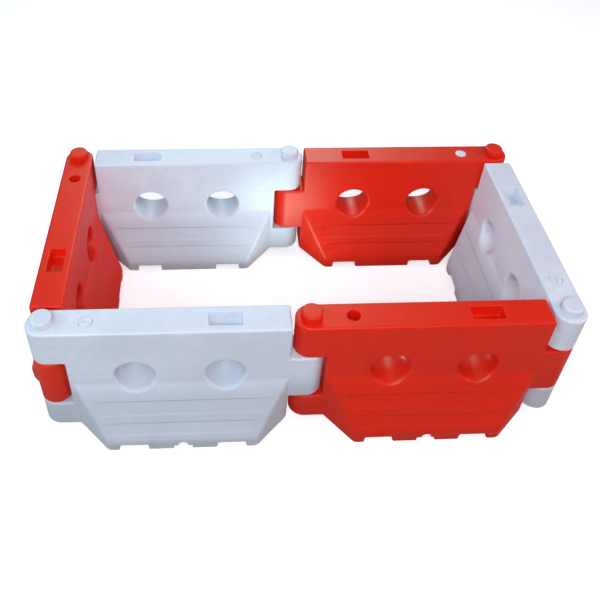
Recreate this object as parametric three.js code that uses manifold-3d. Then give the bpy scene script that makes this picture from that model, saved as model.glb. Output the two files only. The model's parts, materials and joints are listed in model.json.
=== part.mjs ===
// A closed loop of six water filled barriers, pinned end to end: two along the front, two along the
// back and one at each side. Millimetres, +Z up, long side along X, the front at -Y. The origin is the
// centre of the loop on the ground.
// Every barrier is the same hollow moulding. It is built once in its own frame, with its fork pivot on
// the Z axis, its length along +X and the side that faces out of the loop at -Y.

import * as THREE from 'three';
import { ConvexGeometry } from 'three/addons/geometries/ConvexGeometry.js';
import { mergeVertices } from 'three/addons/utils/BufferGeometryUtils.js';
import Module from 'manifold-3d';

// Driving dimensions
const PITCH = 1320; // from one pivot to the next
const HEIGHT = 800; // ground to the flat top
const WALL_HALF = 83; // half the thickness of the upright wall, and the radius of its round end
const FOOT_HALF = 225; // half the width over the skirts
const SKIN = 6; // thickness of the moulded plastic

// Fork at the pivot end and tongue at the other end
const SLOT_LOW = 240;
const SLOT_HIGH = 572;
const SLOT_END = WALL_HALF + 6;
const TONGUE_PLAY = 8; // above and below the tongue
const TONGUE_RADIUS = WALL_HALF - 1;
const END_FACE = PITCH - WALL_HALF - 16; // square end, clear of the next round end
const UNDERSIDE = 58; // lowest level of both ends

// Skirts and foot
const SKIRT_TOP = 407;
const BAND_TOP = 76; // the nearly upright band round the foot
const BAND_DRAFT = 6;
const END_START = 107; // where the skirt starts to spread, from the fork pivot
const FOOT_START = 267;
const FOOT_END = PITCH - FOOT_START;

// Cut-outs
const CENTRE = PITCH / 2;
const FORKLIFT_OFFSET = 261;
const FORKLIFT_WIDTH = 154;
const FORKLIFT_HEIGHT = 46;
const TUNNEL_OFFSET = 231;
const TUNNEL_HEIGHT = 465;
const TUNNEL_RADIUS = 97; // in the middle, where it is narrowest
const TUNNEL_DRAFT = 0.09; // growth of its radius per length towards both sides
const POCKET = { x: 894, length: 168, width: 82, depth: 60, draft: 5 };
const CHANNELS = [{ top: 302, bottom: 226 }, { top: 182, bottom: 118 }];
const CHANNEL_DEPTH = 8;
const CHANNEL_FADE = 1.5; // depth left at the lower lip
const CHANNEL_INSET = 52;
const NOTCH = { half: 50, height: 30, archRadius: 25, archHeight: 37, depth: 75 };

// Pivot pin, fill opening and drain
const PIN_RADIUS = 20;
const PIN_BORE = 23;
const PIN_TIP = 130;
const HEAD_RADIUS = 55;
const HEAD_HEIGHT = 45;
const FILL_X = 210;
const FILL_RADIUS = 35;
const NECK_LENGTH = 40;
const DRAIN_RADIUS = 14;
const DRAIN_COLLAR = 20; // length of the thickened wall round the drain
const GAP = 0.3; // between neighbouring pieces

// Smoothness of the round shapes
const BORE_SIDES = 14;
const TUNNEL_SIDES = 18;
const ROUND_END_SIDES = 10;
const HEAD_SIDES = 20;

const WHITE = { color: 0xdfe6ee, roughness: 0.5, metalness: 0 };
const RED = { color: 0xd8371f, roughness: 0.45, metalness: 0 };
const RUBBER = { color: 0x1d1d1f, roughness: 0.85, metalness: 0 };
const BLUE = { color: 0x2c5f9e, roughness: 0.5, metalness: 0 };

// The loop, counter-clockwise seen from above. Each barrier's fork takes the tongue of the one before.
const UNITS = [
  { name: 'front_left', at: [-PITCH, -PITCH / 2], heading: 0, plastic: WHITE, bung: true },
  { name: 'front_right', at: [0, -PITCH / 2], heading: 0, plastic: RED, bung: false },
  { name: 'right_side', at: [PITCH, -PITCH / 2], heading: 90, plastic: WHITE, bung: true },
  { name: 'back_right', at: [PITCH, PITCH / 2], heading: 180, plastic: RED, bung: true },
  { name: 'back_left', at: [0, PITCH / 2], heading: 180, plastic: WHITE, bung: true },
  { name: 'left_side', at: [-PITCH, PITCH / 2], heading: 270, plastic: RED, bung: false },
];

const wasm = await Module();
wasm.setup();

// A solid for booleans from a three.js geometry. Triangles that close up to a line are dropped.
function solid(geometry) {
  geometry.deleteAttribute('normal');
  geometry.deleteAttribute('uv');
  const merged = mergeVertices(geometry, 1e-4);
  const index = merged.index.array;
  const triangles = [];
  for (let i = 0; i < index.length; i += 3) {
    const [a, b, c] = [index[i], index[i + 1], index[i + 2]];
    if (a !== b && b !== c && c !== a) triangles.push(a, b, c);
  }
  return new wasm.Manifold(new wasm.Mesh({
    numProp: 3,
    vertProperties: new Float32Array(merged.attributes.position.array),
    triVerts: new Uint32Array(triangles),
  }));
}

// An upright prism with the given plan outline.
function prism(outline, low, high) {
  const shape = new THREE.Shape(outline.map(([x, y]) => new THREE.Vector2(x, y)));
  const geometry = new THREE.ExtrudeGeometry(shape, { depth: high - low, bevelEnabled: false });
  geometry.translate(0, 0, low);
  return solid(geometry);
}

function box(x0, x1, y0, y1, z0, z1) {
  const geometry = new THREE.BoxGeometry(x1 - x0, y1 - y0, z1 - z0);
  geometry.translate((x0 + x1) / 2, (y0 + y1) / 2, (z0 + z1) / 2);
  return solid(geometry);
}

function hull(points) {
  return solid(new ConvexGeometry(points.map((p) => new THREE.Vector3(...p))));
}

// A body turned about the Z axis from [radius, height] pairs, listed upwards on the outside.
function turned(profile, sides) {
  const points = profile.map(([r, z]) => new THREE.Vector2(r, z));
  points.push(points[0]);
  const geometry = new THREE.LatheGeometry(points, sides);
  geometry.rotateX(Math.PI / 2);
  return solid(geometry);
}

function cylinder(radius, low, high, sides) {
  return turned([[0, low], [radius, low], [radius, high], [0, high]], sides);
}

// Lays a body turned about Z along Y instead, so that its top points to -Y.
function lying(body) {
  return body.rotate([90, 0, 0]);
}

// Plan outline of a bar with a round end of the given radius centred on x = centre. The other end is
// square at x = square.
function roundEnded(centre, square, radius) {
  const side = Math.sign(centre - square);
  const outline = [[square, side * radius], [square, -side * radius]];
  for (let i = 0; i <= ROUND_END_SIDES; i += 1) {
    const angle = -Math.PI / 2 + (Math.PI * i) / ROUND_END_SIDES;
    outline.push([centre + side * radius * Math.cos(angle), side * radius * Math.sin(angle)]);
  }
  return outline;
}

// Half the width of the body at a height within the sloping skirt.
function skirtHalf(z) {
  return WALL_HALF + ((FOOT_HALF - WALL_HALF) * (SKIRT_TOP - z)) / (SKIRT_TOP - BAND_TOP);
}

// Where the sloping skirt face starts and ends along X at a height.
function skirtEnds(z) {
  const share = (SKIRT_TOP - z) / (SKIRT_TOP - BAND_TOP);
  return [
    END_START + (FOOT_START - END_START) * share,
    END_FACE + (FOOT_END - END_FACE) * share,
  ];
}

// Skirts, end bevels and foot band as one convex body, drawn in by inset on every side.
function skirtBody(inset) {
  const points = [];
  for (const side of [-1, 1]) {
    const wall = side * (WALL_HALF - inset);
    const band = side * (FOOT_HALF - inset);
    const foot = side * (FOOT_HALF - BAND_DRAFT - inset);
    points.push([END_START, wall, SKIRT_TOP], [END_FACE - inset, wall, SKIRT_TOP]);
    points.push([END_START, wall, UNDERSIDE + inset], [END_FACE - inset, wall, UNDERSIDE + inset]);
    points.push([FOOT_START + inset, band, BAND_TOP], [FOOT_END - inset, band, BAND_TOP]);
    points.push([FOOT_START + inset, foot, inset], [FOOT_END - inset, foot, inset]);
  }
  return hull(points);
}

// The outside of the moulding, or its inside when drawn in by the skin.
function bodyForm(inset) {
  const wall = prism(roundEnded(0, END_FACE - inset, WALL_HALF - inset), UNDERSIDE + inset, HEIGHT - inset);
  const tongue = prism(
    roundEnded(PITCH, END_FACE - 2 * SKIN, TONGUE_RADIUS - inset),
    SLOT_LOW + TONGUE_PLAY + inset,
    SLOT_HIGH - TONGUE_PLAY - inset,
  );
  const slot = box(
    -2 * WALL_HALF, SLOT_END + inset, -2 * WALL_HALF, 2 * WALL_HALF, SLOT_LOW - inset, SLOT_HIGH + inset,
  );
  return wall.add(tongue).add(skirtBody(inset)).subtract(slot);
}

// One tapered channel along a skirt. It is deepest under its upper lip and fades out downwards.
function channel({ top, bottom }, side, grow) {
  const points = [];
  for (const [z, depth] of [[top + grow, CHANNEL_DEPTH + grow], [bottom - grow, CHANNEL_FADE + grow]]) {
    const [start, end] = skirtEnds(z);
    for (const x of [start + CHANNEL_INSET - grow, end - CHANNEL_INSET + grow]) {
      points.push([x, side * (skirtHalf(z) + 6), z], [x, side * (skirtHalf(z) - depth), z]);
    }
  }
  return hull(points);
}

// A round tunnel right through the wall. It narrows a little from both sides to the middle.
function tunnel(x, grow) {
  const reach = FOOT_HALF;
  const end = TUNNEL_RADIUS + TUNNEL_DRAFT * reach + grow;
  const profile = [[0, -reach], [end, -reach], [TUNNEL_RADIUS + grow, 0], [end, reach], [0, reach]];
  return lying(turned(profile, TUNNEL_SIDES)).translate([x, 0, TUNNEL_HEIGHT]);
}

// The rectangular pocket in the top.
function pocket(grow) {
  const points = [];
  for (const [z, draft] of [[HEIGHT + 2, 0], [HEIGHT - POCKET.depth - grow, POCKET.draft]]) {
    const length = POCKET.length / 2 - draft + grow;
    const width = POCKET.width / 2 - draft + grow;
    for (const [sx, sy] of [[-1, -1], [-1, 1], [1, -1], [1, 1]]) {
      points.push([POCKET.x + sx * length, sy * width, z]);
    }
  }
  return hull(points);
}

// A slot under the foot for one arm of a forklift.
function forkliftSlot(side, grow) {
  const middle = CENTRE + side * FORKLIFT_OFFSET;
  const half = FORKLIFT_WIDTH / 2 + grow;
  return box(middle - half, middle + half, -300, 300, -10, FORKLIFT_HEIGHT + grow);
}

// The drain recess in the middle of the outer foot: a low notch with an arch above it.
function drainRecess(grow) {
  const back = -(FOOT_HALF - BAND_DRAFT) + NOTCH.depth + grow;
  const half = NOTCH.half + grow;
  const low = box(CENTRE - half, CENTRE + half, -300, back, -10, NOTCH.height + grow);
  const arch = lying(cylinder(NOTCH.archRadius + grow, -back, 300, BORE_SIDES));
  const stem = box(
    CENTRE - NOTCH.archRadius - grow, CENTRE + NOTCH.archRadius + grow, -300, back, -10, NOTCH.archHeight,
  );
  return low.add(arch.translate([CENTRE, 0, NOTCH.archHeight])).add(stem);
}

// Everything that is cut from the outside. grow is the skin that is left round each cut on the inside.
function cutOuts(grow) {
  let cuts = pocket(grow).add(drainRecess(grow));
  for (const side of [-1, 1]) {
    cuts = cuts.add(tunnel(CENTRE + side * TUNNEL_OFFSET, grow)).add(forkliftSlot(side, grow));
    for (const one of CHANNELS) cuts = cuts.add(channel(one, side, grow));
  }
  return cuts;
}

// Upright bores for the pivot pins at both ends. grow is the skin left round them inside the moulding.
function pinBores(grow) {
  const radius = PIN_BORE + grow;
  const fork = cylinder(radius, -10, HEIGHT + 10, BORE_SIDES);
  const tongue = cylinder(radius, SLOT_LOW, SLOT_HIGH, BORE_SIDES).translate([PITCH, 0, 0]);
  return fork.add(tongue);
}

function drainLevelY() {
  return -(FOOT_HALF - BAND_DRAFT) + NOTCH.depth;
}

// The hollow moulding: outer form less its cut-outs, less the space for the water.
function shell() {
  const fillCollar = cylinder(FILL_RADIUS + SKIN, HEIGHT - NECK_LENGTH, HEIGHT, BORE_SIDES);
  const drainY = drainLevelY();
  const drainCollar = lying(
    cylinder(DRAIN_RADIUS + SKIN, -drainY - DRAIN_COLLAR, -drainY, BORE_SIDES),
  ).translate([CENTRE, 0, NOTCH.archHeight]);
  const fillHole = cylinder(FILL_RADIUS, HEIGHT - NECK_LENGTH - 20, HEIGHT + 10, BORE_SIDES);
  const drainHole = lying(
    cylinder(DRAIN_RADIUS, -drainY - DRAIN_COLLAR - 20, -drainY + 10, BORE_SIDES),
  ).translate([CENTRE, 0, NOTCH.archHeight]);
  const water = bodyForm(SKIN)
    .subtract(cutOuts(SKIN))
    .subtract(pinBores(SKIN))
    .subtract(fillCollar.translate([FILL_X, 0, 0]))
    .subtract(drainCollar);
  return bodyForm(0)
    .subtract(cutOuts(0))
    .subtract(pinBores(0))
    .subtract(water)
    .subtract(fillHole.translate([FILL_X, 0, 0]))
    .subtract(drainHole);
}

// Pivot pin: a broad head that rests on the fork and a shank through fork, tongue and fork again.
function pin() {
  const seat = HEIGHT + GAP;
  const top = HEIGHT + HEAD_HEIGHT;
  return turned([
    [0, PIN_TIP],
    [PIN_RADIUS - 7, PIN_TIP],
    [PIN_RADIUS, PIN_TIP + 15],
    [PIN_RADIUS, seat],
    [HEAD_RADIUS, seat],
    [HEAD_RADIUS - 1, top - 8],
    [HEAD_RADIUS - 7, top],
    [0, top],
  ], HEAD_SIDES);
}

const SEAL_LOW = HEIGHT - 24;
const SEAL_HIGH = HEIGHT - 17;

// Bung that closes the fill opening: a domed lid, a grooved plug below and a grip slot across the top.
function bung() {
  const plug = FILL_RADIUS - 2;
  const body = turned([
    [0, HEIGHT - 32],
    [plug - 2, HEIGHT - 32],
    [plug, HEIGHT - 29],
    [plug, SEAL_LOW - GAP],
    [plug - 4, SEAL_LOW - GAP],
    [plug - 4, SEAL_HIGH + GAP],
    [plug, SEAL_HIGH + GAP],
    [FILL_RADIUS - 2 * GAP, HEIGHT - 8],
    [FILL_RADIUS - 2 * GAP, HEIGHT],
    [FILL_RADIUS - 5, HEIGHT + 3],
    [0, HEIGHT + 4],
  ], BORE_SIDES);
  return body.subtract(box(-20, 20, -3.5, 3.5, HEIGHT - 4, HEIGHT + 10)).translate([FILL_X, 0, 0]);
}

function bungSeal() {
  const inner = FILL_RADIUS - 6 + GAP;
  const outer = FILL_RADIUS - 2 * GAP;
  return turned([
    [inner, SEAL_LOW],
    [outer - 1.5, SEAL_LOW],
    [outer, SEAL_LOW + 1.5],
    [outer, SEAL_HIGH - 1.5],
    [outer - 1.5, SEAL_HIGH],
    [inner, SEAL_HIGH],
  ], BORE_SIDES).translate([FILL_X, 0, 0]);
}

const WASHER_THICK = 3;

// Turns a body whose height runs out of the drain into place. Height 0 is the wall round the drain.
function atDrain(body) {
  return lying(body.translate([0, 0, -drainLevelY()])).translate([CENTRE, 0, NOTCH.archHeight]);
}

// Drain plug: a tapered stem in the hole, a flange and a square grip.
function drainPlug() {
  const flange = WASHER_THICK + 2 * GAP;
  const body = turned([
    [0, -26],
    [DRAIN_RADIUS - 2.5, -26],
    [DRAIN_RADIUS - 1, flange],
    [DRAIN_RADIUS + 6, flange],
    [DRAIN_RADIUS + 6, flange + 5],
    [DRAIN_RADIUS + 4, flange + 7],
    [0, flange + 7],
  ], BORE_SIDES);
  return atDrain(body.add(box(-8, 8, -8, 8, flange + 5, flange + 22)));
}

function drainWasher() {
  const inner = DRAIN_RADIUS - 1 + 2 * GAP;
  const outer = DRAIN_RADIUS + 7;
  return atDrain(turned([
    [inner, GAP],
    [outer, GAP],
    [outer, GAP + WASHER_THICK],
    [inner, GAP + WASHER_THICK],
  ], BORE_SIDES));
}

function meshOf(body, name, look, { at, heading }) {
  const { vertProperties, triVerts } = body.getMesh();
  const geometry = new THREE.BufferGeometry();
  geometry.setAttribute('position', new THREE.BufferAttribute(new Float32Array(vertProperties), 3));
  geometry.setIndex(new THREE.BufferAttribute(new Uint32Array(triVerts), 1));
  geometry.rotateZ(THREE.MathUtils.degToRad(heading));
  geometry.translate(at[0], at[1], 0);
  geometry.computeVertexNormals();
  const mesh = new THREE.Mesh(geometry, new THREE.MeshStandardMaterial(look));
  mesh.name = name;
  return mesh;
}

const loop = new THREE.Group();
loop.name = 'water_filled_barrier_loop';
const forms = {
  shell: shell(),
  pin: pin(),
  bung: bung(),
  bungSeal: bungSeal(),
  drainPlug: drainPlug(),
  drainWasher: drainWasher(),
};
for (const unit of UNITS) {
  loop.add(meshOf(forms.shell, `shell_${unit.name}`, unit.plastic, unit));
  loop.add(meshOf(forms.pin, `pin_${unit.name}`, unit.plastic, unit));
  if (unit.bung) {
    loop.add(meshOf(forms.bung, `bung_${unit.name}`, WHITE, unit));
    loop.add(meshOf(forms.bungSeal, `bung_seal_${unit.name}`, RUBBER, unit));
  }
  loop.add(meshOf(forms.drainPlug, `drain_plug_${unit.name}`, BLUE, unit));
  loop.add(meshOf(forms.drainWasher, `drain_washer_${unit.name}`, RUBBER, unit));
}

export default loop;
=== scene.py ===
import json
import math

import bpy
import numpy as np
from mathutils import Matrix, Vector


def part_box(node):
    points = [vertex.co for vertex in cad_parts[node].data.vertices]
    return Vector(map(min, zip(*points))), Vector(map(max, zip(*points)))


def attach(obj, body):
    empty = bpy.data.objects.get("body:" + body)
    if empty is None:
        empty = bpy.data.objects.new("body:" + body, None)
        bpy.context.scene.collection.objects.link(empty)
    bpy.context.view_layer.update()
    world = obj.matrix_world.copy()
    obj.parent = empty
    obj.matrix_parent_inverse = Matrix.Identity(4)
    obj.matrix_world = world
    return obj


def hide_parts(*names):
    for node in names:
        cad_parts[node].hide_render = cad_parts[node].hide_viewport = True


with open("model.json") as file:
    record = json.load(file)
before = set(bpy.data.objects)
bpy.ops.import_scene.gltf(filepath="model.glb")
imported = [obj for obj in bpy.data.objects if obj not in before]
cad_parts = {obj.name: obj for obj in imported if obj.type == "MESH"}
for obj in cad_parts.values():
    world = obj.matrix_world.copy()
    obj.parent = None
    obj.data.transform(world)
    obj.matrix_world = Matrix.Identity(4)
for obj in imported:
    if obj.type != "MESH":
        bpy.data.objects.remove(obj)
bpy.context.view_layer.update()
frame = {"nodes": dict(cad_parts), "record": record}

# A loop of six linked water filled barriers. Every barrier is one rotationally moulded plastic form, so
# its soft-edged surface is made once, as a field of distances that is turned into a mesh, and placed six
# times. Metres. In a barrier's own frame the fork pivot is the Z axis, the barrier runs along +X and the
# side that faces out of the loop is -Y.

import openvdb
from mathutils import Matrix, Vector

RECORD = frame["record"]
MM = 0.001
GAP = 0.3 * MM  # between pieces that rest on each other

# Driving sizes, read from the frame
FIRST = "front_left"
SHELL_LOW, SHELL_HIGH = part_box("shell_" + FIRST)
PIN_LOW, PIN_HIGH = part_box("pin_" + FIRST)
BUNG_LOW, BUNG_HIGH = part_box("bung_" + FIRST)
PLUG_LOW, PLUG_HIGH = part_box("drain_plug_" + FIRST)
WASHER_LOW, WASHER_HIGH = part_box("drain_washer_" + FIRST)
SEAL_LOW, SEAL_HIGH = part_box("bung_seal_" + FIRST)
FORK = (PIN_LOW + PIN_HIGH) / 2
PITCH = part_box("pin_front_right")[0].x - PIN_LOW.x
HEIGHT = SHELL_HIGH.z
WALL_HALF = FORK.x - SHELL_LOW.x
FOOT_HALF = (SHELL_HIGH.y - SHELL_LOW.y) / 2
CENTRE = PITCH / 2
FILL_X = (BUNG_LOW.x + BUNG_HIGH.x) / 2 - FORK.x
DRAIN_HEIGHT = (PLUG_LOW.z + PLUG_HIGH.z) / 2
DRAIN_BACK = WASHER_HIGH.y - FORK.y + GAP
HEAD_RADIUS = (PIN_HIGH.x - PIN_LOW.x) / 2
HEAD_HEIGHT = PIN_HIGH.z - HEIGHT

# Fork, tongue and ends
SLOT_LOW = 240 * MM
SLOT_HIGH = 572 * MM
SLOT_MIDDLE = (SLOT_LOW + SLOT_HIGH) / 2
SLOT_HALF = (SLOT_HIGH - SLOT_LOW) / 2
SLOT_END = WALL_HALF + 6 * MM
TONGUE_PLAY = 8 * MM
END_FACE = PITCH - WALL_HALF - 16 * MM
UNDERSIDE = 58 * MM
PIN_BORE = 23 * MM

# Skirts and foot
SKIRT_TOP = 407 * MM
BAND_TOP = 76 * MM
BAND_DRAFT = 6 * MM
END_START = 107 * MM
FOOT_START = 267 * MM
FOOT_END = PITCH - FOOT_START

# Cut-outs
FORKLIFT_OFFSET = 261 * MM
FORKLIFT_HALF = 77 * MM
FORKLIFT_HEIGHT = 46 * MM
TUNNEL_OFFSET = 231 * MM
TUNNEL_HEIGHT = 465 * MM
TUNNEL_RADIUS = 97 * MM  # in the middle, where it is narrowest
TUNNEL_DRAFT = 0.09
POCKET_X = 894 * MM
POCKET_LENGTH_HALF = 84 * MM
POCKET_WIDTH_HALF = 41 * MM
POCKET_DEPTH = 60 * MM
POCKET_DRAFT = 5 * MM
CHANNEL_LEVELS = ((302 * MM, 226 * MM), (182 * MM, 118 * MM))
CHANNEL_DEPTH = 8 * MM
CHANNEL_FADE = 0.4 * MM
CHANNEL_INSET = 45 * MM
CHANNEL_END = 0.12  # steepness with which its depth comes in at its ends
NOTCH_HALF = 50 * MM
NOTCH_HEIGHT = 30 * MM
ARCH_RADIUS = 25 * MM
FILL_RADIUS = 35 * MM
WELL_DEPTH = 75 * MM
DRAIN_RADIUS = 14 * MM
DRAIN_WELL = 32 * MM

# Pin, bung, drain plug and their seals
SEAT = PIN_LOW.z
PIN_RADIUS = 20 * MM
PIN_TAPER = 7 * MM
HEAD_EDGE = 11 * MM
HEAD_DRAFT = 0.03
BUNG_RADIUS = (BUNG_HIGH.x - BUNG_LOW.x) / 2
BUNG_PLUG = FILL_RADIUS - 2 * MM
BUNG_DOME = BUNG_HIGH.z - HEIGHT
BUNG_LIP = 8 * MM
SEAL_RADIUS = (SEAL_HIGH.x - SEAL_LOW.x) / 2
SEAL_MIDDLE = (SEAL_LOW.z + SEAL_HIGH.z) / 2
SEAL_HALF = (SEAL_HIGH.z - SEAL_LOW.z) / 2
GROOVE_DEPTH = 4 * MM
GRIP_LENGTH_HALF = 20 * MM
GRIP_WIDTH_HALF = 3.5 * MM
GRIP_DEPTH = 4 * MM
STEM_PLAY = 1 * MM
STEM_TAPER = 0.05
STEM_OVERLAP = 2 * MM  # how far the stem reaches into the flange
FLANGE_RADIUS = DRAIN_RADIUS + 6 * MM
FLANGE_THICK = 7 * MM
WASHER_THICK = WASHER_HIGH.y - WASHER_LOW.y
WASHER_RIM = 1 * MM  # how far the washer shows round the flange
SQUARE_HALF = 8 * MM

# Softness of the edges, as the radius that rounds them. The groove's corners are the sharpest, so that
# the seal fits into them.
MOUTH = 14 * MM
TOP_EDGE = 11 * MM
EDGE = 9 * MM
POCKET_CORNER = 8 * MM
CHANNEL_LIP = 6 * MM
TIGHT = 4 * MM
BLUNT = 3 * MM
SHARP = 2 * MM
LID_EDGE = 1.5 * MM
FINE = 1 * MM
SEAL_CORNER = 0.9 * MM
WASHER_CORNER = 0.7 * MM
GROOVE_EDGE = 0.6 * MM
GROOVE_CORNER = 0.3 * MM

# Distance fields: the spacing of the large one, how far flat areas may be simplified, and in spacings
# the room round a field's box and the distances that it tells apart
VOXEL = 4 * MM
FLATTEN = 0.01
FIELD_MARGIN = 3
FIELD_BAND = 4

# Moving a mesh's points onto its surface: how often, the farthest at a time in spacings, and the step
# over which the slope of a distance is taken
SETTLE_ROUNDS = 2
SETTLE_MOST = 0.25
SLOPE_STEP = 0.1 * MM
LEAST_SLOPE = 1e-12  # m, so that nothing is divided by nought

# The farthest that an edge or a crevice is looked for, and the same in spacings
EDGE_REACH = 9 * MM
EDGE_REACH_SPACINGS = 3

# Colours of the plastics, of what rubs off on them, and of the painted shade in crevices
WHITE = (0.76, 0.81, 0.89)
RED = (0.83, 0.013, 0.001)
WHITE_SCUFF = (0.62, 0.64, 0.70)
RED_SCUFF = (0.95, 0.20, 0.10)
# these two colours paint both real dirt near the ground and painted shade in crevices
WHITE_DIRT_AND_SHADE = (0.42, 0.38, 0.36)
RED_DIRT_AND_SHADE = (0.35, 0.05, 0.03)
RUBBER = (0.018, 0.018, 0.020)
BLUE = (0.03, 0.12, 0.34)
BLUE_WORN = (0.25, 0.40, 0.62)
# near-black painted shade for the plug's crevices
PLUG_CREVICE_SHADE = (0.05, 0.06, 0.07)

# Light: the sky as it shines and as the camera sees it, the lamps as name, place, width, power and
# colour, and the floor as it throws light back and as the camera sees it
HORIZON = (0.18, 0.18, 0.18, 1)
ZENITH = (0.03, 0.03, 0.03, 1)
SKY_SEEN = (0.88, 0.88, 0.88, 1)
LAMPS = (
    ("front", (-1.0, -6.0, 6.2), 4.3, 380, (1.0, 1.09, 1.21)),
    ("right", (6.5, -1.0, 5.0), 4.0, 225, (1.0, 0.67, 0.68)),
    ("left", (-6.5, -1.0, 5.0), 4.0, 135, (1.0, 1.30, 1.50)),
    ("back", (0.0, 6.5, 5.0), 4.0, 108, (1.0, 1.27, 1.55)),
    ("inner", (0.0, 0.0, 0.012), 0.5, 4.1, (1.0, 1.50, 1.55)),
)
SHEEN_LAMP = ("sheen", (0.0, 7.0, 6.0), 4.5, 145, (1.0, 1.3, 0.9))
LAMP_AIM = Vector((0, 0, 0.3))
FLOOR_BOUNCE = (0.42, 0.38, 0.34, 1)
FLOOR_SEEN = (0.80, 0.80, 0.80, 1)
FLOOR_LIFT = 0.55


# ---------------------------------------------------------------- distances

def meet(a, b, radius):
    """Distance to what two forms share, with the edge between them rounded."""
    crevice_shade = np.hypot(np.maximum(a + radius, 0), np.maximum(b + radius, 0))
    return np.minimum(np.maximum(a, b), -radius) + crevice_shade


def join(a, b, radius):
    """Distance to two forms together, with a fillet between them."""
    return -meet(-a, -b, radius)


def cut(a, b, radius):
    """Distance to the first form without the second, with the edge between them rounded."""
    return meet(a, -b, radius)


def plane(u, v, start, end):
    """Distance from the line through start and end in the plane of u and v. Positive on its left."""
    du = end[0] - start[0]
    dv = end[1] - start[1]
    length = math.hypot(du, dv)
    return ((v - start[1]) * du - (u - start[0]) * dv) / length


def slab(place, middle, half):
    """Distance to the space between two parallel planes."""
    return np.abs(place - middle) - half


def upright(x, y, z):
    """Wall with its round fork end, its square end and the tongue."""
    beyond = np.maximum(-x, 0) + np.maximum(x - PITCH, 0)
    side = np.hypot(beyond, y) - WALL_HALF
    tongue = slab(z, SLOT_MIDDLE, SLOT_HALF) + TONGUE_PLAY
    profile = join(x - END_FACE, tongue, EDGE)
    low_high = meet(z - HEIGHT, UNDERSIDE - z, TOP_EDGE)
    return meet(meet(profile, low_high, TOP_EDGE), side, TOP_EDGE)


def slope_of(y, z):
    """Distance from the sloping skirt faces."""
    return -plane(z, np.abs(y), (SKIRT_TOP, WALL_HALF), (BAND_TOP, FOOT_HALF))


def skirts(x, y, z):
    """Sloping skirts with bevelled ends and the nearly upright band round the foot."""
    side = np.abs(y)
    slope = slope_of(y, z)
    band = -plane(z, side, (BAND_TOP, FOOT_HALF), (0, FOOT_HALF - BAND_DRAFT))
    form = meet(slope, band, EDGE)
    form = meet(form, -z, TIGHT)
    ends = ((END_START, FOOT_START, 1), (END_FACE, FOOT_END, -1))
    for top, foot, way in ends:
        bevel = plane(x, side, (top, WALL_HALF), (foot, FOOT_HALF)) * way
        under = plane(x, z, (foot, 0), (top, UNDERSIDE)) * way
        form = meet(form, bevel, EDGE)
        form = meet(form, under, EDGE)
    return meet(form, x - END_FACE, EDGE)


def skirt_ends(z):
    """Where the sloping face starts and ends along X at a height."""
    share = (SKIRT_TOP - z) / (SKIRT_TOP - BAND_TOP)
    start = END_START + (FOOT_START - END_START) * share
    return start, END_FACE + (FOOT_END - END_FACE) * share


def channel(x, y, z, top, bottom):
    """A shallow groove along a skirt, deepest under its upper lip and fading out at its ends."""
    share = (z - bottom) / (top - bottom)
    start, end = skirt_ends(z)
    within = np.minimum(x - start, end - x) - CHANNEL_INSET
    depth = CHANNEL_FADE + (CHANNEL_DEPTH - CHANNEL_FADE) * share
    depth = join(depth, CHANNEL_END * within, SHARP)
    form = meet(-(slope_of(y, z) + depth), z - top, CHANNEL_DEPTH)
    return meet(form, bottom - z, CHANNEL_DEPTH)


def tunnel(x, y, z, centre):
    """A round hole through the wall that narrows a little towards its middle."""
    across = np.hypot(x - centre, z - TUNNEL_HEIGHT)
    one = across - TUNNEL_RADIUS - TUNNEL_DRAFT * y
    other = across - TUNNEL_RADIUS + TUNNEL_DRAFT * y
    return join(one, other, TIGHT)


def pocket(x, y, z):
    """The drafted rectangular pocket in the top."""
    draft = POCKET_DRAFT * (HEIGHT - z) / POCKET_DEPTH
    length = slab(x, POCKET_X, POCKET_LENGTH_HALF) + draft
    width = slab(y, 0, POCKET_WIDTH_HALF) + draft
    return meet(meet(length, width, POCKET_CORNER), HEIGHT - POCKET_DEPTH - z, TIGHT)


def forklift_slot(x, z, centre):
    """A low opening across the foot for a forklift's tine."""
    return meet(slab(x, centre, FORKLIFT_HALF), z - FORKLIFT_HEIGHT, EDGE)


def drain_recess(x, y, z):
    """The low notch with an arch above it in the outer foot. Its back meets its sides nearly square,
    because the washer reaches close to the arch."""
    low = meet(slab(x, CENTRE, NOTCH_HALF), z - NOTCH_HEIGHT, TIGHT)
    arch = np.hypot(x - CENTRE, np.maximum(z - DRAIN_HEIGHT, 0)) - ARCH_RADIUS
    return meet(join(low, arch, TIGHT), y - DRAIN_BACK, SHARP)


def moulding(x, y, z):
    """Distance to the whole outer form of one barrier."""
    form = join(upright(x, y, z), skirts(x, y, z), TIGHT)
    slot = meet(x - SLOT_END, slab(z, SLOT_MIDDLE, SLOT_HALF), EDGE)
    form = cut(form, slot, TOP_EDGE)
    for side in (-1, 1):
        form = cut(form, tunnel(x, y, z, CENTRE + side * TUNNEL_OFFSET), MOUTH)
        form = cut(form, forklift_slot(x, z, CENTRE + side * FORKLIFT_OFFSET), EDGE)
    for top, bottom in CHANNEL_LEVELS:
        form = cut(form, channel(x, y, z, top, bottom), CHANNEL_LIP)
    form = cut(form, pocket(x, y, z), TIGHT)
    form = cut(form, drain_recess(x, y, z), TIGHT)
    for pivot in (0, PITCH):
        form = cut(form, np.hypot(x - pivot, y) - PIN_BORE, SHARP)
    well = meet(np.hypot(x - FILL_X, y) - FILL_RADIUS, HEIGHT - WELL_DEPTH - z, TIGHT)
    form = cut(form, well, SHARP)
    drain = np.hypot(x - CENTRE, z - DRAIN_HEIGHT) - DRAIN_RADIUS
    return cut(form, meet(drain, y - DRAIN_BACK - DRAIN_WELL, TIGHT), SHARP)


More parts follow.
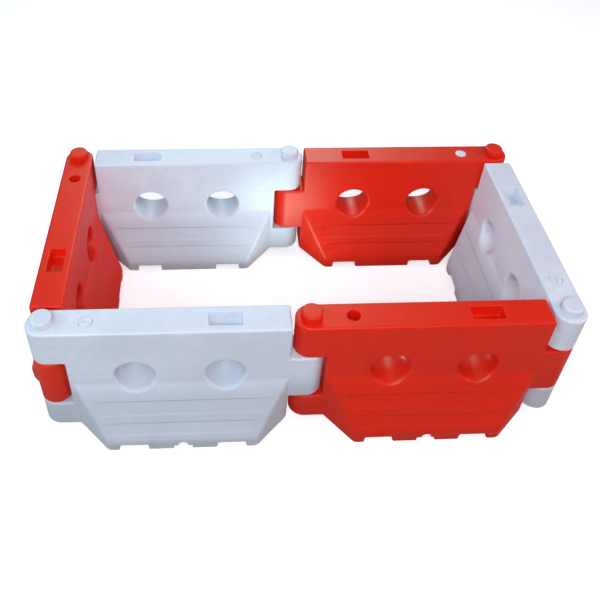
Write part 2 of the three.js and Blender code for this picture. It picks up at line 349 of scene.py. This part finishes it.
def pin(x, y, z):
    """A shank with a tapered tip under a broad round head."""
    across = np.hypot(x, y)
    shank = meet(across - PIN_RADIUS, SEAT - z, PIN_TAPER)
    shank = meet(shank, z - HEIGHT - HEAD_HEIGHT / 2, TIGHT)
    rim = across - HEAD_RADIUS + HEAD_DRAFT * (z - HEIGHT)
    head = meet(rim, z - HEIGHT - HEAD_HEIGHT, HEAD_EDGE)
    return np.minimum(shank, meet(head, HEIGHT + GAP - z, SHARP))


def bung(x, y, z):
    """A domed lid on a grooved plug, with a grip slot across the top."""
    across = np.hypot(x - FILL_X, y)
    dome = z - HEIGHT - BUNG_DOME * (1 - (across / BUNG_RADIUS) ** 2)
    lid = meet(across - BUNG_RADIUS, dome, LID_EDGE)
    lid = meet(lid, HEIGHT - BUNG_LIP - z, FINE)
    plug = meet(meet(across - BUNG_PLUG, BUNG_LOW.z - z, BLUNT), z - HEIGHT, FINE)
    form = np.minimum(lid, plug)
    level = slab(z, SEAL_MIDDLE, SEAL_HALF + GAP)
    form = cut(form, meet(level, BUNG_PLUG - GROOVE_DEPTH - across, GROOVE_CORNER), GROOVE_EDGE)
    grip = meet(slab(x, FILL_X, GRIP_LENGTH_HALF), slab(y, 0, GRIP_WIDTH_HALF), BLUNT)
    return cut(form, meet(grip, HEIGHT - GRIP_DEPTH - z, FINE), FINE)


def bung_seal(x, y, z):
    """A ring with a rounded outside in the groove of the bung."""
    across = np.hypot(x - FILL_X, y)
    ring = meet(across - SEAL_RADIUS, slab(z, SEAL_MIDDLE, SEAL_HALF), BLUNT)
    return meet(ring, BUNG_PLUG - GROOVE_DEPTH + GAP - across, SEAL_CORNER)


def drain_plug(x, y, z):
    """A tapered stem, a flange and a square grip, along Y out of the drain recess."""
    across = np.hypot(x - CENTRE, z - DRAIN_HEIGHT)
    out = DRAIN_BACK - y
    flange_level = WASHER_THICK + 2 * GAP
    stem = across - DRAIN_RADIUS + STEM_PLAY + STEM_TAPER * np.maximum(flange_level - out, 0)
    stem = meet(stem, DRAIN_BACK - PLUG_HIGH.y + FORK.y - out, SHARP)
    stem = meet(stem, out - flange_level - STEM_OVERLAP, FINE)
    middle = flange_level + FLANGE_THICK / 2
    flange = meet(across - FLANGE_RADIUS, slab(out, middle, FLANGE_THICK / 2), SHARP)
    grip = meet(slab(x, CENTRE, SQUARE_HALF), slab(z, DRAIN_HEIGHT, SQUARE_HALF), SHARP)
    grip = meet(meet(grip, out - DRAIN_BACK + PLUG_LOW.y - FORK.y, SHARP), middle - out, FINE)
    return join(np.minimum(stem, flange), grip, SHARP)


def drain_washer(x, y, z):
    """A flat ring between the flange and the back of the recess."""
    across = np.hypot(x - CENTRE, z - DRAIN_HEIGHT)
    middle = DRAIN_BACK - GAP - WASHER_THICK / 2
    ring = meet(across - FLANGE_RADIUS - WASHER_RIM, slab(y, middle, WASHER_THICK / 2), FINE)
    return meet(ring, DRAIN_RADIUS - STEM_PLAY + 2 * GAP - across, WASHER_CORNER)


# ---------------------------------------------------------------- meshes

def field_mesh(distance, low, high, spacing):
    """Points and triangles of the surface where a distance is nought, within a box."""
    margin = FIELD_MARGIN * spacing
    axes = [np.arange(a - margin, b + margin, spacing, dtype=np.float32) for a, b in zip(low, high)]
    x = axes[0][:, None, None]
    y = axes[1][None, :, None]
    z = axes[2][None, None, :]
    values = np.broadcast_to(distance(x, y, z), [len(a) for a in axes])
    band = FIELD_BAND * spacing
    grid = openvdb.FloatGrid(background=band)
    grid.copyFromArray(np.ascontiguousarray(np.clip(values, -band, band), dtype=np.float32))
    points, triangles, quads = grid.convertToPolygons(isovalue=0, adaptivity=FLATTEN)
    start = np.array([a[0] for a in axes], np.float64)
    points = np.asarray(points, np.float64) * spacing + start
    quads = np.asarray(quads).reshape(-1, 4)
    triangles = np.asarray(triangles).reshape(-1, 3)
    return points, np.concatenate((triangles, quads[:, (0, 1, 2)], quads[:, (0, 2, 3)]))


def gradient(distance, points):
    """Unit direction in which the distance grows fastest, at points."""
    parts = []
    for axis in range(3):
        shift = np.zeros(3)
        shift[axis] = SLOPE_STEP
        ahead = distance(*(points + shift).T)
        behind = distance(*(points - shift).T)
        parts.append(ahead - behind)
    direction = np.stack(parts, axis=1)
    return direction / np.maximum(np.linalg.norm(direction, axis=1, keepdims=True), LEAST_SLOPE)


def settle(distance, points, most):
    """Moves points onto the surface and returns them with the surface's own directions there."""
    for _ in range(SETTLE_ROUNDS):
        step = np.clip(distance(*points.T), -most, most)
        points = points - gradient(distance, points) * step[:, None]
    return points, gradient(distance, points)


def volume(points, triangles):
    """Volume inside closed triangles, below nought where they face inwards."""
    a, b, c = (points[triangles[:, i]] for i in range(3))
    return np.einsum("ij,ij->i", a, np.cross(b, c)).sum() / 6


def form_mesh(name, distance, low, high, spacing, reach):
    """Smooth mesh of a form. Where it is an edge or a crevice within reach is kept at its points."""
    points, triangles = field_mesh(distance, low, high, spacing)
    points, direction = settle(distance, points, SETTLE_MOST * spacing)
    if volume(points, triangles) < 0:
        triangles = triangles[:, ::-1]
    mesh = bpy.data.meshes.new(name)
    mesh.from_pydata(points.tolist(), [], triangles.tolist())
    mesh.update()
    edge = 1 + distance(*(points - direction * reach).T) / reach
    crevice = 1 - distance(*(points + direction * reach).T) / reach
    for label, share in (("edge", edge), ("crevice", crevice)):
        layer = mesh.attributes.new(label, "FLOAT", "POINT")
        layer.data.foreach_set("value", np.clip(share, 0, 1).astype(np.float32))
    mesh.polygons.foreach_set("use_smooth", [True] * len(mesh.polygons))
    mesh.normals_split_custom_set_from_vertices(direction.tolist())
    mesh.materials.append(None)
    return mesh


def own_box(node):
    """Box of a node of the first barrier, in the barrier's own frame."""
    low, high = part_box(node + "_" + FIRST)
    shift = Vector((FORK.x, FORK.y, 0))
    return low - shift, high - shift


# Kind of piece, its form, the spacing of its field and how the names of the bodies it rides on start
KINDS = (
    ("shell", moulding, VOXEL, "barrier_"),
    ("pin", pin, 2.5 * MM, "link_pin_"),
    ("bung", bung, 0.8 * MM, "fill_bung_"),
    ("bung_seal", bung_seal, 0.6 * MM, "fill_bung_"),
    ("drain_plug", drain_plug, 0.7 * MM, "drain_"),
    ("drain_washer", drain_washer, 0.5 * MM, "drain_"),
)


# ---------------------------------------------------------------- materials

# Sizes of the patterns in the barriers' plastic
CLOUD_SIZE = 0.35
MOTTLE_SIZE = 0.035
GRAIN_SIZE = 0.004
STREAK_SIZE = 0.12
STREAK_SQUEEZE = (1.2, 1.2, 60.0)

# Where each kind of wear starts and where it is full, and the same for the painted shade in crevices and
# low down: a share of its pattern, or a height in metres
CLOUDY = (0.3, 0.7)
SPECKLED = (0.35, 0.7)
SCUFFED_EDGE = (0.15, 0.75)
SCUFFED_PATCH = (0.48, 0.62)
SCRATCHED = (0.66, 0.72)
SCRATCHED_PATCH = (0.45, 0.65)
SPLASHED = (0.16, 0.0)
SPLASHED_PATCH = (0.3, 0.75)
# painted shade in crevices, by the crevice measure kept at the mesh's points
CREVICE_SHADE_RAMP = (0.05, 0.8)
# painted shade: the plastic darkens from the first height down to the second
LOW_SHADE_RAMP = (0.47, 0.28)

# How strongly each kind of wear shows, and the painted shade in crevices
SPECKLES = 0.35
SCUFFS = 0.30
SCRATCHES = 0.18
SPLASHES = 0.16
# strength of the painted shade in crevices
CREVICE_SHADE_STRENGTH = 0.14

# Tones beside the plain colour; the last is the painted shade over the lower half
CLOUD_DARK, CLOUD_LIGHT = 0.95, 1.04
SPECKLE_TONE = 0.88
LOW_SHADE_TONE = 0.5

# Gloss, depths of the bumps and how deep light goes under the skin
ROUGHNESS = 0.36
MOTTLE_ROUGHNESS = 0.14
WORN_ROUGHNESS = 0.2
WAVE_DEPTH = 6 * MM
PEEL_DEPTH = 0.25 * MM
SCRATCH_DEPTH = 0.15 * MM
REFRACTION = 1.5
UNDER_SKIN = 0.5
SKIN_DEPTH = 16 * MM

# Rubber: its bloom and grain, where they and rubbed edges show, and how much paler they are
BLOOM_SIZE = 12 * MM
RUBBER_GRAIN = 1.2 * MM
BLOOMING = (0.4, 0.75)
RUBBED_EDGE = (0.2, 0.8)
RUBBING = 0.4
BLOOM_TONE, RUBBED_TONE = 2.6, 4

# Hard plastic: its flow marks and grain, and where worn edges and painted crevice shade show
FLOW_SIZE = 20 * MM
FLOW_SQUEEZE = (1.0, 4.0, 1.0)
HARD_GRAIN = 1.5 * MM
FLOW_DARK, FLOW_LIGHT = 0.8, 1.25
WEAR = 0.7
PLUG_CREVICE_SHADE_RAMP = (0.1, 0.9)
PLUG_CREVICE_SHADE_STRENGTH = 0.5

# How far apart the patterns of different objects lie
OBJECT_SHIFT = 17.0

# Numbers of the colour mixing node's sockets
MIX_FACTOR, MIX_A, MIX_B, MIX_RESULT = 0, 6, 7, 2


def make(tree, kind, inputs=None, **settings):
    """A node with its settings and inputs, which are values or other nodes' outputs."""
    node = tree.nodes.new(kind)
    for key, value in settings.items():
        setattr(node, key, value)
    for key, value in (inputs or {}).items():
        if isinstance(value, bpy.types.NodeSocket):
            tree.links.new(value, node.inputs[key])
        else:
            node.inputs[key].default_value = value
    return node


def maths(tree, operation, a, b, clamp=False):
    """Result of a sum or a product of two values."""
    node = make(tree, "ShaderNodeMath", {0: a, 1: b}, operation=operation, use_clamp=clamp)
    return node.outputs[0]


def times(tree, a, b):
    """Product of two values."""
    return maths(tree, "MULTIPLY", a, b)


def spread(tree, value, width, start):
    """Start, plus width times a value."""
    inputs = {0: value, 1: width, 2: start}
    return make(tree, "ShaderNodeMath", inputs, operation="MULTIPLY_ADD").outputs[0]


def noise(tree, place, size, detail=2, rough=0.5):
    """Noise between 0 and 1 whose patches are about the given size in metres."""
    inputs = {"Vector": place, "Scale": 1 / size, "Detail": detail, "Roughness": rough}
    return make(tree, "ShaderNodeTexNoise", inputs).outputs["Fac"]


def ramp(tree, value, start, end):
    """0 below start, 1 above end and a smooth rise between them. Falls where end is below start."""
    low, high = min(start, end), max(start, end)
    inputs = {"Value": value, "From Min": low, "From Max": high, "To Min": 0.0, "To Max": 1.0}
    if end < start:
        inputs["To Min"], inputs["To Max"] = 1.0, 0.0
    node = make(tree, "ShaderNodeMapRange", inputs, interpolation_type="SMOOTHSTEP")
    return node.outputs["Result"]


def blend(tree, share, a, b):
    """Colour that goes from a to b with share."""
    inputs = {MIX_FACTOR: share, MIX_A: a, MIX_B: b}
    return make(tree, "ShaderNodeMix", inputs, data_type="RGBA").outputs[MIX_RESULT]


def tinted(tree, tone, share, strength, colour):
    """A tone with a colour over it, as strongly as share times strength."""
    return blend(tree, times(tree, share, strength), tone, colour)


def stretched(tree, place, factors):
    """A place with its three coordinates multiplied, so that a pattern is squeezed along them."""
    inputs = {0: place, 1: factors}
    return make(tree, "ShaderNodeVectorMath", inputs, operation="MULTIPLY").outputs[0]


def start_material(name):
    """A material with its tree and its shader."""
    material = bpy.data.materials.new(name)
    material.use_nodes = True
    tree = material.node_tree
    return material, tree, tree.nodes["Principled BSDF"]


def object_place(tree):
    """A point's place in the object's own frame."""
    return make(tree, "ShaderNodeTexCoord").outputs["Object"]


def shifted_place(tree):
    """A point's place, moved by an amount that differs from object to object."""
    chance = make(tree, "ShaderNodeObjectInfo").outputs["Random"]
    inputs = {0: object_place(tree), 1: times(tree, chance, OBJECT_SHIFT)}
    return make(tree, "ShaderNodeVectorMath", inputs, operation="ADD").outputs[0]


def height_in(tree, place):
    """The third coordinate of a place or a direction."""
    return make(tree, "ShaderNodeSeparateXYZ", {0: place}).outputs["Z"]


def finish_shader(tree, shader, tone, rough, normal):
    """Connects a material's colour, roughness and bumps."""
    tree.links.new(tone, shader.inputs["Base Color"])
    tree.links.new(rough, shader.inputs["Roughness"])
    tree.links.new(normal, shader.inputs["Normal"])


def bumped(tree, height, depth, strength, normal=None):
    """Direction of the surface with bumps, which may lie on other bumps."""
    inputs = {"Height": height, "Distance": depth, "Strength": strength}
    if normal is not None:
        inputs["Normal"] = normal
    return make(tree, "ShaderNodeBump", inputs).outputs["Normal"]


def attribute(tree, name):
    """A value that is kept at the mesh's points."""
    return make(tree, "ShaderNodeAttribute", attribute_name=name).outputs["Fac"]


def shade(colour, factor=1):
    """A colour made darker or lighter, with its fourth channel."""
    return tuple(min(channel * factor, 1.0) for channel in colour) + (1.0,)


def scratches(tree, place, mottle):
    """Where level scratches show: thin streaks that are kept in patches."""
    streak = noise(tree, stretched(tree, place, STREAK_SQUEEZE), STREAK_SIZE, detail=3, rough=0.7)
    return times(tree, ramp(tree, streak, *SCRATCHED), ramp(tree, mottle, *SCRATCHED_PATCH))


def soiling_and_crevice_shade(tree, height, mottle):
    """How much splashed dirt lies near the ground, plus painted shade in the crevices."""
    splash = times(tree, ramp(tree, height, *SPLASHED), ramp(tree, mottle, *SPLASHED_PATCH))
    # painted shade: darkening where the surface lies in a crevice
    crevice_shade = times(tree, ramp(tree, attribute(tree, "crevice"), *CREVICE_SHADE_RAMP), CREVICE_SHADE_STRENGTH)
    return maths(tree, "ADD", times(tree, splash, SPLASHES), crevice_shade, clamp=True)


def moulded_skin(tree, place, cloud, scratch):
    """Shallow waves, an orange-peel grain on them, and scratches cut into both."""
    grain = noise(tree, place, GRAIN_SIZE)
    wave = bumped(tree, cloud, WAVE_DEPTH, strength=0.5)
    peel = bumped(tree, grain, PEEL_DEPTH, strength=0.6, normal=wave)
    return bumped(tree, scratch, -SCRATCH_DEPTH, strength=0.6, normal=peel)


def polyethylene(name, colour, scuff, dirt_and_shade, low_shade, sheen, glow):
    """Rotationally moulded plastic: mottled, with an orange-peel skin, scuffed edges, fine scratches, a
    little splashed dirt near the ground, painted shade in the corners, and painted shade that darkens
    its lower half. Sheen is the tint of its gloss, and glow is how far each colour of light travels
    under the skin."""
    material, tree, shader = start_material(name)
    place = shifted_place(tree)
    cloud = noise(tree, place, CLOUD_SIZE, detail=3)
    mottle = noise(tree, place, MOTTLE_SIZE, detail=4, rough=0.6)
    height = height_in(tree, object_place(tree))
    edge = ramp(tree, attribute(tree, "edge"), *SCUFFED_EDGE)
    patchy = times(tree, edge, ramp(tree, mottle, *SCUFFED_PATCH))
    scratch = scratches(tree, place, mottle)
    soil_and_shade = soiling_and_crevice_shade(tree, height, mottle)
    dark, light = shade(colour, CLOUD_DARK), shade(colour, CLOUD_LIGHT)
    tone = blend(tree, ramp(tree, cloud, *CLOUDY), dark, light)
    tone = tinted(tree, tone, ramp(tree, mottle, *SPECKLED), SPECKLES, shade(colour, SPECKLE_TONE))
    tone = tinted(tree, tone, patchy, SCUFFS, shade(scuff))
    tone = tinted(tree, tone, scratch, SCRATCHES, shade(scuff))
    # real dirt near the ground, with painted shade in the crevices, in the dirt's colour
    tone = blend(tree, soil_and_shade, tone, shade(dirt_and_shade))
    # painted shade: a darker copy of the plastic's own colour laid over its lower half
    tone = tinted(tree, tone, ramp(tree, height, *LOW_SHADE_RAMP), low_shade, shade(colour, LOW_SHADE_TONE))
    worn = times(tree, maths(tree, "ADD", soil_and_shade, scratch), WORN_ROUGHNESS)
    rough = maths(tree, "ADD", spread(tree, mottle, MOTTLE_ROUGHNESS, ROUGHNESS), worn)
    finish_shader(tree, shader, tone, rough, moulded_skin(tree, place, cloud, scratch))
    shader.inputs["IOR"].default_value = REFRACTION
    shader.inputs["Specular Tint"].default_value = (*sheen, 1)
    shader.inputs["Subsurface Weight"].default_value = UNDER_SKIN
    shader.inputs["Subsurface Radius"].default_value = glow
    shader.inputs["Subsurface Scale"].default_value = SKIN_DEPTH
    return material


def elastomer(name, colour):
    """Seal rubber: dark, dull, with pale bloom, a fine grain and rubbed edges."""
    material, tree, shader = start_material(name)
    place = shifted_place(tree)
    bloom = noise(tree, place, BLOOM_SIZE, detail=4, rough=0.6)
    grain = noise(tree, place, RUBBER_GRAIN)
    edge = ramp(tree, attribute(tree, "edge"), *RUBBED_EDGE)
    tone = blend(tree, ramp(tree, bloom, *BLOOMING), shade(colour), shade(colour, BLOOM_TONE))
    tone = tinted(tree, tone, edge, RUBBING, shade(colour, RUBBED_TONE))
    rough = spread(tree, bloom, width=0.25, start=0.6)
    finish_shader(tree, shader, tone, rough, bumped(tree, grain, depth=0.1 * MM, strength=0.7))
    return material


def hard_plastic(name, colour):
    """Injection moulded plastic: glossy, with flow marks, paler worn edges and painted shade in its
    corners.
    """
    material, tree, shader = start_material(name)
    place = shifted_place(tree)
    flow = noise(tree, stretched(tree, place, FLOW_SQUEEZE), FLOW_SIZE, detail=3)
    grain = noise(tree, place, HARD_GRAIN)
    patchy = times(tree, ramp(tree, attribute(tree, "edge"), *RUBBED_EDGE), flow)
    crevice_shade = ramp(tree, attribute(tree, "crevice"), *PLUG_CREVICE_SHADE_RAMP)
    tone = blend(tree, flow, shade(colour, FLOW_DARK), shade(colour, FLOW_LIGHT))
    tone = tinted(tree, tone, patchy, WEAR, shade(BLUE_WORN))
    # painted shade: near black where the plug's surface lies in a crevice
    tone = tinted(tree, tone, crevice_shade, PLUG_CREVICE_SHADE_STRENGTH, shade(PLUG_CREVICE_SHADE))
    rough = spread(tree, flow, width=0.2, start=0.24)
    finish_shader(tree, shader, tone, rough, bumped(tree, grain, depth=0.08 * MM, strength=0.5))
    return material


# ---------------------------------------------------------------- the loop

def unit_names():
    """Names of the barriers, such as front_left."""
    return [name[len("shell_"):] for name in frame["nodes"] if name.startswith("shell_")]


def placement(name):
    """Where a barrier's own frame stands in the loop: at its pin, turned towards its tongue."""
    low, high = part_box("pin_" + name)
    pivot = (low + high) / 2
    low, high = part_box("shell_" + name)
    middle = (low + high) / 2
    heading = math.atan2(middle.y - pivot.y, middle.x - pivot.x)
    return Matrix.Translation((pivot.x, pivot.y, 0)) @ Matrix.Rotation(heading, 4, "Z")


def make_looks():
    """Every material by its slot in the record."""
    return {
        # low_shade is how strongly painted shade darkens each plastic's lower half
        "white_polyethylene": polyethylene(
            "white_polyethylene", WHITE, scuff=WHITE_SCUFF, dirt_and_shade=WHITE_DIRT_AND_SHADE,
            low_shade=0.46, sheen=(1, 1, 1), glow=(1.0, 0.9, 0.9)),
        "red_polyethylene": polyethylene(
            "red_polyethylene", RED, scuff=RED_SCUFF, dirt_and_shade=RED_DIRT_AND_SHADE,
            low_shade=0.22, sheen=(1, 1, 0.8), glow=(1.0, 0.15, 0.05)),
        "seal_rubber": elastomer("seal_rubber", RUBBER),
        "plug_blue": hard_plastic("plug_blue", BLUE),
    }


def build_loop():
    """Makes every kind of piece once and places it in each barrier that has it."""
    slots = {part["node"]: part["material_slot"] for part in RECORD["subparts"]}
    looks = make_looks()
    for kind, distance, spacing, body in KINDS:
        low, high = own_box(kind)
        reach = min(EDGE_REACH, EDGE_REACH_SPACINGS * spacing)
        mesh = form_mesh(kind, distance, low, high, spacing, reach)
        for name in unit_names():
            node = kind + "_" + name
            if node not in frame["nodes"]:
                continue
            piece = bpy.data.objects.new("soft_" + node, mesh)
            bpy.context.scene.collection.objects.link(piece)
            piece.matrix_world = placement(name)
            piece.material_slots[0].link = "OBJECT"
            piece.material_slots[0].material = looks[slots[node]]
            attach(piece, body + name)
            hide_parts(node)


# ---------------------------------------------------------------- stage

# Camera: its place in metres, its angles in radians, its lens and sensor in millimetres, and the lens
# shift as a share of the picture's width
CAMERA_PLACE = Vector((-0.4565, -2.9729, 3.5624))
CAMERA_DOWN = 0.69128
CAMERA_TURN = 0.07213
CAMERA_ROLL = 0.03305
LENS = 43.14
SENSOR = 36
SHIFT_X = 0.0701
SHIFT_Y = -0.19

# Floor: half its width, and how far it lies under the loop
FLOOR_HALF = 30
FLOOR_DROP = 1 * MM


def make_camera():
    """The camera, turned by its three angles."""
    data = bpy.data.cameras.new("camera")
    data.lens = LENS
    data.sensor_width = SENSOR
    data.shift_x = SHIFT_X
    data.shift_y = SHIFT_Y
    camera = bpy.data.objects.new("camera", data)
    bpy.context.scene.collection.objects.link(camera)
    level = math.cos(CAMERA_DOWN)
    forward = Vector((
        math.sin(CAMERA_TURN) * level,
        math.cos(CAMERA_TURN) * level,
        -math.sin(CAMERA_DOWN),
    ))
    right = Vector((math.cos(CAMERA_TURN), -math.sin(CAMERA_TURN), 0))
    up = right.cross(forward)
    turned_right = right * math.cos(CAMERA_ROLL) + up * math.sin(CAMERA_ROLL)
    turned_up = up * math.cos(CAMERA_ROLL) - right * math.sin(CAMERA_ROLL)
    camera.matrix_world = Matrix((
        (turned_right.x, turned_up.x, -forward.x, CAMERA_PLACE.x),
        (turned_right.y, turned_up.y, -forward.y, CAMERA_PLACE.y),
        (turned_right.z, turned_up.z, -forward.z, CAMERA_PLACE.z),
        (0, 0, 0, 1),
    ))
    bpy.context.scene.camera = camera


def make_floor():
    """A wide floor. The camera sees it nearly white, but it throws back less light than it shows."""
    mesh = bpy.data.meshes.new("floor")
    corners = [(FLOOR_HALF * x, FLOOR_HALF * y, 0) for x, y in ((-1, -1), (1, -1), (1, 1), (-1, 1))]
    mesh.from_pydata(corners, [], [(0, 1, 2, 3)])
    floor = bpy.data.objects.new("floor", mesh)
    bpy.context.scene.collection.objects.link(floor)
    look, tree, shader = start_material("floor")
    seen = make(tree, "ShaderNodeLightPath").outputs["Is Camera Ray"]
    tree.links.new(blend(tree, seen, FLOOR_BOUNCE, FLOOR_SEEN), shader.inputs["Base Color"])
    shader.inputs["Roughness"].default_value = 1.0
    shader.inputs["Specular IOR Level"].default_value = 0.0
    shader.inputs["Emission Color"].default_value = (1, 1, 1, 1)
    tree.links.new(maths(tree, "MULTIPLY", seen, FLOOR_LIFT), shader.inputs["Emission Strength"])
    mesh.materials.append(look)
    floor.location.z = -FLOOR_DROP


def add_lamp(name, place, width, power, colour):
    """A round lamp aimed at the loop that the camera doesn't see."""
    data = bpy.data.lights.new(name, "AREA")
    data.shape = "DISK"
    data.size = width
    data.energy = power
    data.color = colour
    lamp = bpy.data.objects.new(name, data)
    lamp.location = place
    lamp.rotation_euler = (LAMP_AIM - Vector(place)).to_track_quat("-Z", "Y").to_euler()
    lamp.visible_camera = False
    bpy.context.scene.collection.objects.link(lamp)
    return lamp


def make_light():
    """A dim sky, broad soft lamps round the loop, and a glow from the floor inside it."""
    world = bpy.data.worlds.new("sky")
    bpy.context.scene.world = world
    world.use_nodes = True
    tree = world.node_tree
    direction = make(tree, "ShaderNodeTexCoord").outputs["Generated"]
    sky = blend(tree, ramp(tree, height_in(tree, direction), 0.0, 1.0), HORIZON, ZENITH)
    seen = make(tree, "ShaderNodeLightPath").outputs["Is Camera Ray"]
    tree.links.new(blend(tree, seen, sky, SKY_SEEN), tree.nodes["Background"].inputs["Color"])
    for lamp in LAMPS:
        add_lamp(*lamp)
    sheen = add_lamp(*SHEEN_LAMP)
    sheen.visible_diffuse = False


build_loop()
make_floor()
make_light()
make_camera()
bpy.context.scene.view_settings.view_transform = "Standard"
